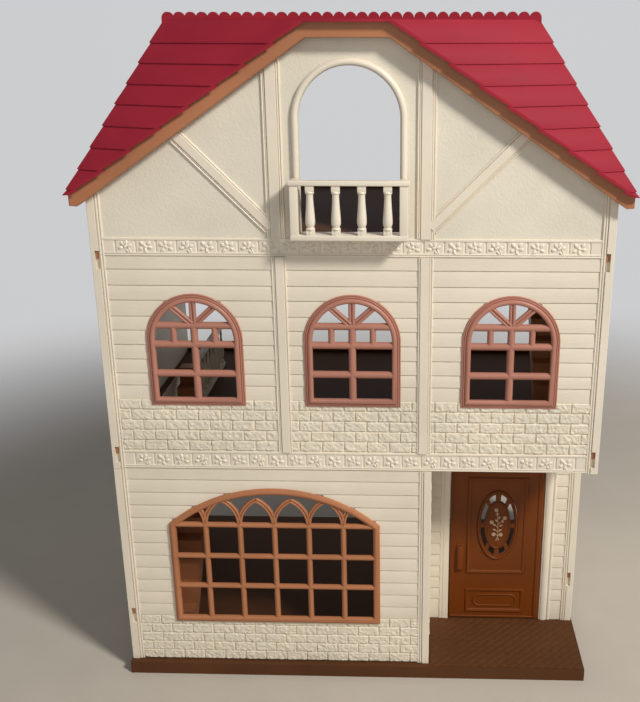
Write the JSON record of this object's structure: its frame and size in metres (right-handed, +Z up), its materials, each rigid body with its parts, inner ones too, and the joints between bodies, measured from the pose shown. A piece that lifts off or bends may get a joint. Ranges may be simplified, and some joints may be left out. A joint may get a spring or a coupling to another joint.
{
  "type": "toy house",
  "caption": "Tall toy house with a gabled front, a recessed porch with a hinged door, lattice windows, a balcony and rooms open at the back.",
  "frame": {"origin": "centre of the base's underside", "axes": "+X to the right seen from the front, +Y from the front to the open back, +Z up"},
  "size_m": [0.372, 0.2474, 0.4872],
  "materials": {
    "cream": "moulded, fine satin texture",
    "red": "moulded, satin",
    "orange_brown": "moulded, satin",
    "rose_brown": "moulded, satin",
    "door_brown": "moulded, satin",
    "dark_brown": "moulded, matt texture"
  },
  "bodies": {
    "root": {"ground_front_wall": "cream", "ground_return_wall": "cream", "entrance_wall": "cream", "ground_left_wall": "cream", "ground_right_wall": "cream", "porch_ceiling": "cream", "upper_front_wall": "cream", "upper_left_wall": "cream", "upper_right_wall": "cream", "gable_wall": "cream", "attic_left_wall": "cream", "attic_right_wall": "cream", "arch_surround": "cream", "balcony": "cream", "door_frame": "cream", "upper_stair_rail": "cream", "attic_stair_rail": "cream", "large_window_frame": "orange_brown", "gable_fascia": "orange_brown", "lower_staircase": "orange_brown", "upper_staircase": "orange_brown", "wall_clip_left_low": "orange_brown", "wall_clip_left_middle": "orange_brown", "wall_clip_left_high": "orange_brown", "wall_clip_right_low": "orange_brown", "wall_clip_right_middle": "orange_brown", "wall_clip_right_high": "orange_brown", "arched_window_left": "rose_brown", "arched_window_centre": "rose_brown", "arched_window_right": "rose_brown", "base_plate": "dark_brown", "upper_floor": "dark_brown", "attic_floor": "dark_brown", "roof_shell": "red", "ridge_strip": "red"},
    "door": {"door_leaf": "door_brown", "door_medallion": "door_brown", "door_handle": "door_brown", "door_pin_bottom": "orange_brown", "door_pin_top": "orange_brown"}
  },
  "joints": [
    {"name": "door_hinge", "type": "hinge", "parent": "root", "child": "door", "pos_m": [0.1456, -0.0502, 0.08], "axis": [0, 0, -1], "range_deg": [0, 95]}
  ]
}
